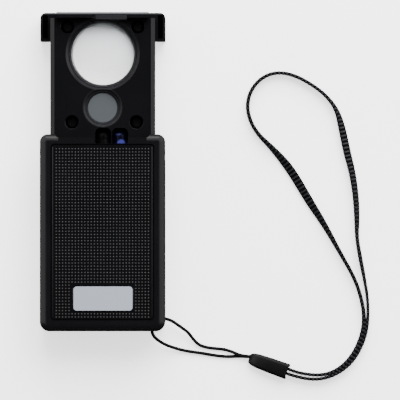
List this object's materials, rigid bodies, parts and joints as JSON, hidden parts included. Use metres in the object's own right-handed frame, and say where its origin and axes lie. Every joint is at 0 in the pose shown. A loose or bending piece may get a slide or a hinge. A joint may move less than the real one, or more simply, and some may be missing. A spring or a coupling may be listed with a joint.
{
  "type": "pull-out illuminated pocket magnifier",
  "caption": "Flat black pocket magnifier: a lens slide with lamps draws out of its case, with a wrist strap on a corner",
  "frame": {"origin": "middle of the drawn-out instrument without its strap, on the surface that the eye side lies on", "axes": "+Y is the way the lens slide draws out, +Z points away from the surface, out of the grip panel, and +X is to the right seen from there"},
  "size_m": [0.1035, 0.1156, 0.0175],
  "materials": {
    "case_black": "satin",
    "grip_black": "satin with raised dots",
    "badge_silver": "satin",
    "slide_black": "satin",
    "lens_clear": "polished",
    "lamp_clear": "clear",
    "lamp_violet": "clear",
    "board_green": "lacquered",
    "resistor_tan": "lacquered",
    "cell_steel": "satin",
    "contact_brass": "rolled",
    "switch_black": "satin",
    "screw_black": "blackened",
    "cord_black": "twisted",
    "clip_black": "moulded",
    "webbing_black": "woven"
  },
  "bodies": {
    "case": {"front_shell": "case_black", "rear_shell": "case_black", "grip_panel": "grip_black", "badge_plate": "badge_silver", "battery_hatch": "case_black", "cord_loop": "cord_black", "strap_clip": "clip_black", "strap_webbing": "webbing_black"},
    "slide": {"slide_front": "slide_black", "slide_rear": "slide_black", "main_lens": "lens_clear", "main_lens_ring": "slide_black", "small_barrel": "slide_black", "small_lens_front": "lens_clear", "small_lens_spacer": "slide_black", "small_lens_rear": "lens_clear", "white_lamp": "lamp_clear", "violet_lamp": "lamp_violet", "circuit_board": "board_green", "resistors": "resistor_tan", "button_cell_1": "cell_steel", "button_cell_2": "cell_steel", "button_cell_3": "cell_steel", "side_contact": "contact_brass", "top_contact": "contact_brass", "power_leaf": "contact_brass", "power_contact": "contact_brass", "selector_switch": "switch_black", "slide_screws": "screw_black"},
    "selector": {"selector_knob": "switch_black"}
  },
  "joints": [
    {"name": "slide_out", "type": "slide", "parent": "case", "child": "slide", "axis": [0, 1, 0], "range_m": [-0.0371, 0]},
    {"name": "selector_slide", "type": "slide", "parent": "slide", "child": "selector", "axis": [0, 1, 0], "range_m": [-0.0025, 0]}
  ]
}
